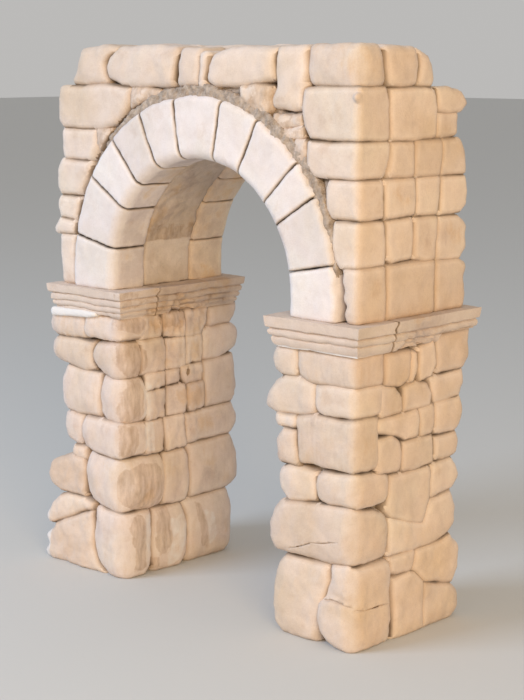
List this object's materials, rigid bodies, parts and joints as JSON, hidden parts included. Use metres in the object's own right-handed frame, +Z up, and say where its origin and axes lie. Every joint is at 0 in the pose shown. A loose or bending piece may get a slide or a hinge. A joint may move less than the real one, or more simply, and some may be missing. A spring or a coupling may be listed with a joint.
{
  "type": "triumphal arch",
  "caption": "Ruined stone triumphal arch: coursed limestone piers, moulded imposts, a stilted ring of voussoirs on both faces, a rubble vault between and a broken wall stub above.",
  "frame": {"origin": "on the ground, in the middle of the overall base, with the bonding stones on the left pier counted in", "axes": "+Z up, -Y out of the front face, +X towards the right pier as seen from the front"},
  "size_m": [5.75, 2.25, 6.89],
  "materials": {
    "limestone": "worn",
    "pale_limestone": "worn",
    "warm_limestone": "worn",
    "mortar": "rough"
  },
  "bodies": {
    "root": {"right_pier_course_1": "limestone", "right_pier_course_2": "limestone", "right_pier_course_3": "limestone", "right_pier_course_4": "limestone", "right_pier_course_5": "limestone", "right_pier_course_6": "limestone", "right_haunch_course_1": "limestone", "right_haunch_course_2": "limestone", "right_haunch_course_3": "limestone", "right_haunch_course_4": "limestone", "right_haunch_course_5": "limestone", "right_pier_core": "mortar", "right_impost": "warm_limestone", "right_springer": "pale_limestone", "right_voussoir_1": "pale_limestone", "right_voussoir_2": "pale_limestone", "right_voussoir_3": "pale_limestone", "right_voussoir_4": "pale_limestone", "left_pier_course_1": "limestone", "left_pier_course_2": "limestone", "left_pier_course_3": "limestone", "left_pier_course_4": "limestone", "left_pier_course_5": "limestone", "left_pier_course_6": "limestone", "left_haunch_course_1": "limestone", "left_haunch_course_2": "limestone", "left_haunch_course_3": "limestone", "left_haunch_course_4": "limestone", "left_haunch_course_5": "limestone", "left_pier_core": "mortar", "left_impost": "warm_limestone", "left_springer": "pale_limestone", "left_voussoir_1": "pale_limestone", "left_voussoir_2": "pale_limestone", "left_voussoir_3": "pale_limestone", "left_voussoir_4": "pale_limestone", "keystone": "pale_limestone", "rubble_vault": "mortar", "spandrel_fill": "mortar", "packing_stones": "warm_limestone", "top_course": "limestone", "top_fill": "mortar", "left_bonding_stones": "warm_limestone"}
  },
  "joints": []
}
